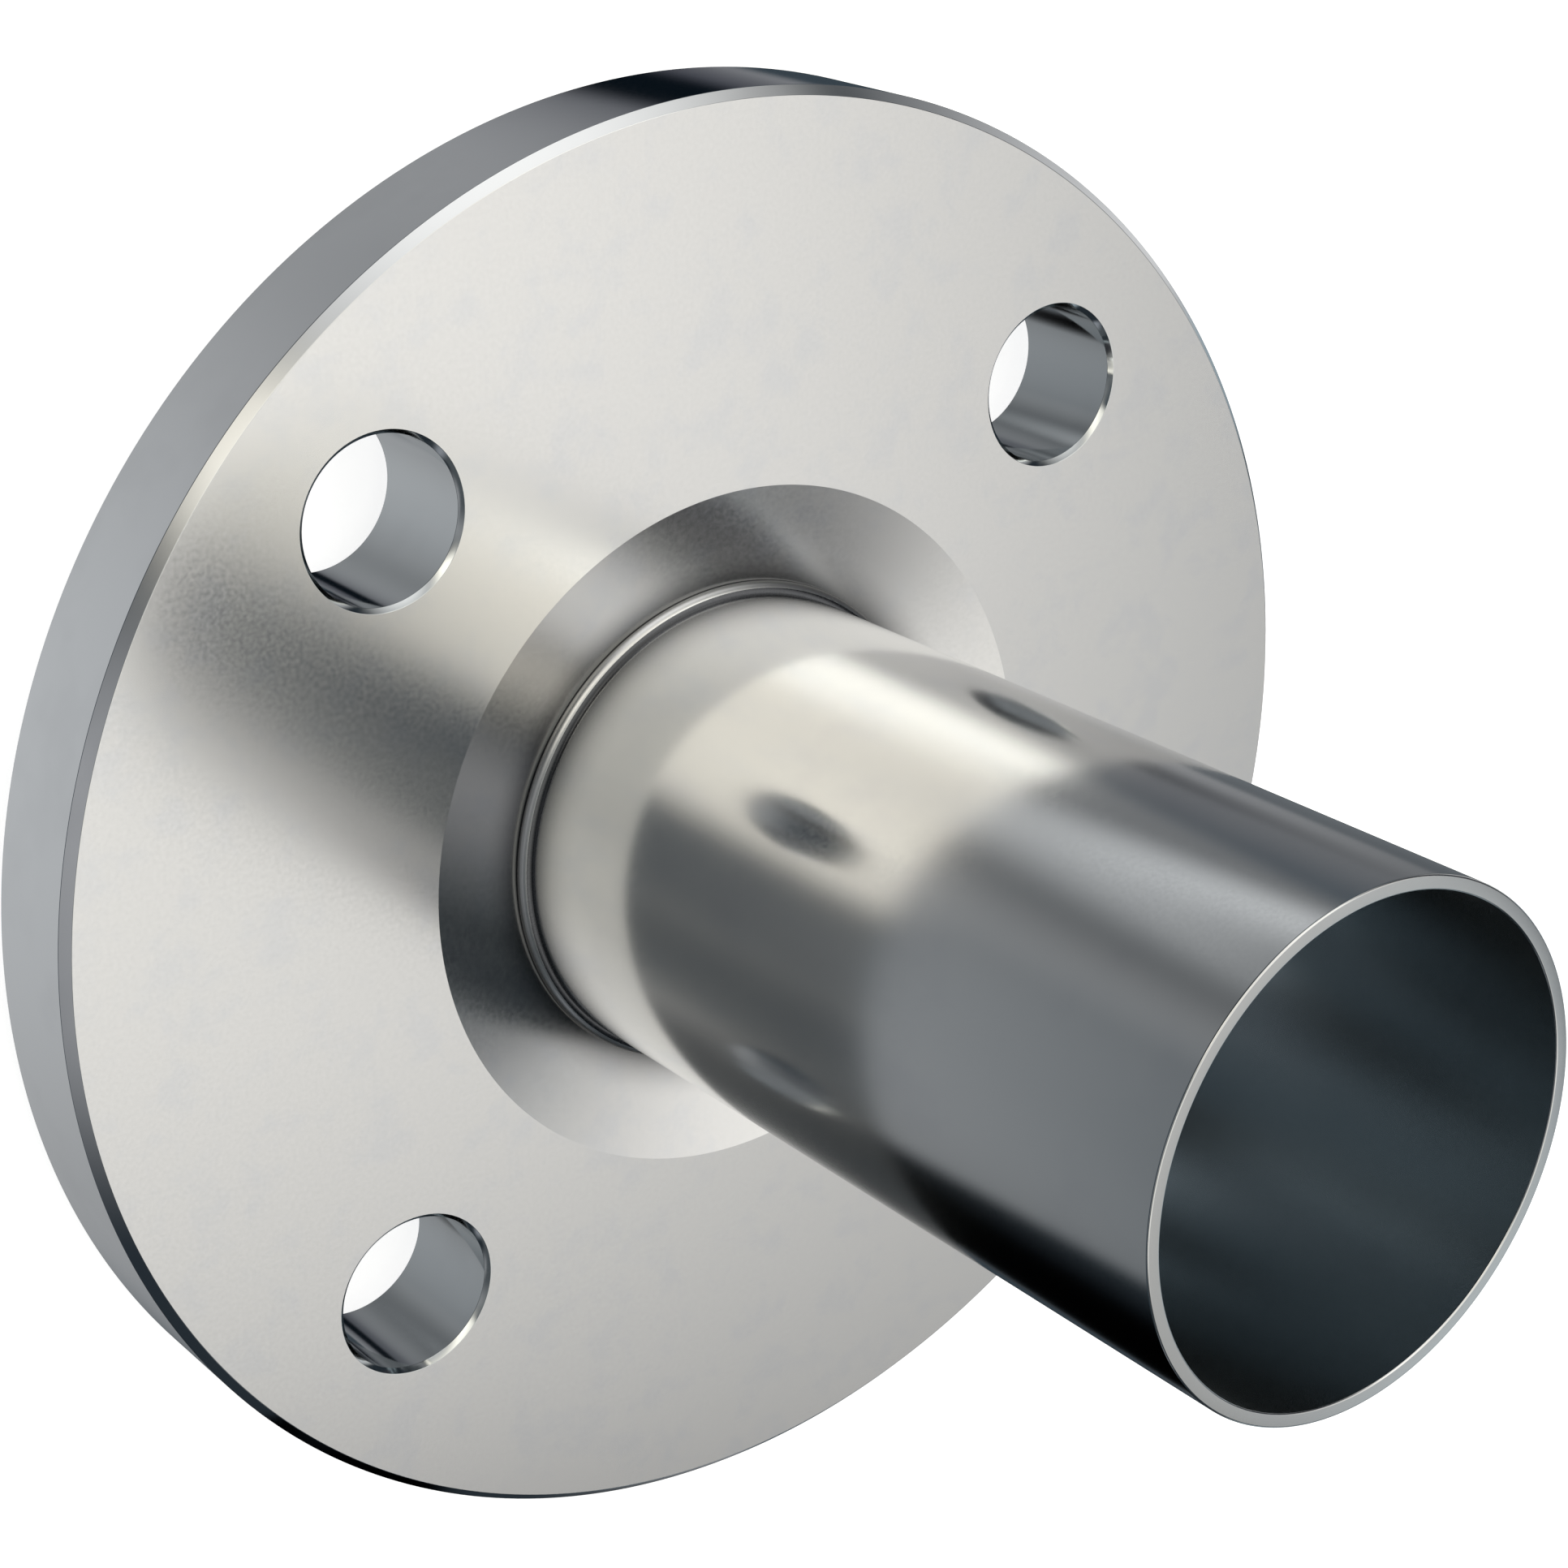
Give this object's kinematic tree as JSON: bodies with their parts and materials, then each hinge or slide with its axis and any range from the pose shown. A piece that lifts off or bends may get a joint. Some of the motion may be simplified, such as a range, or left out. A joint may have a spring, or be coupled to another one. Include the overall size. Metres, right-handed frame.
{
  "type": "pipe flange",
  "caption": "Round bolted pipe flange in stainless steel with a raised sealing face and a thin-walled plain tube end welded into a shallow dish.",
  "frame": {"origin": "centre of the raised sealing face", "axes": "+Z along the tube, away from the sealing face; the bolt holes lie at 45 degrees to +X and +Y"},
  "size_m": [0.165, 0.165, 0.114],
  "materials": {
    "turned_stainless": "satin",
    "polished_tube": "polished",
    "weld_metal": "smooth"
  },
  "bodies": {
    "root": {"flange_plate": "turned_stainless", "tube_stub": "polished_tube", "weld_seam": "weld_metal", "root_seam": "weld_metal"}
  },
  "joints": []
}
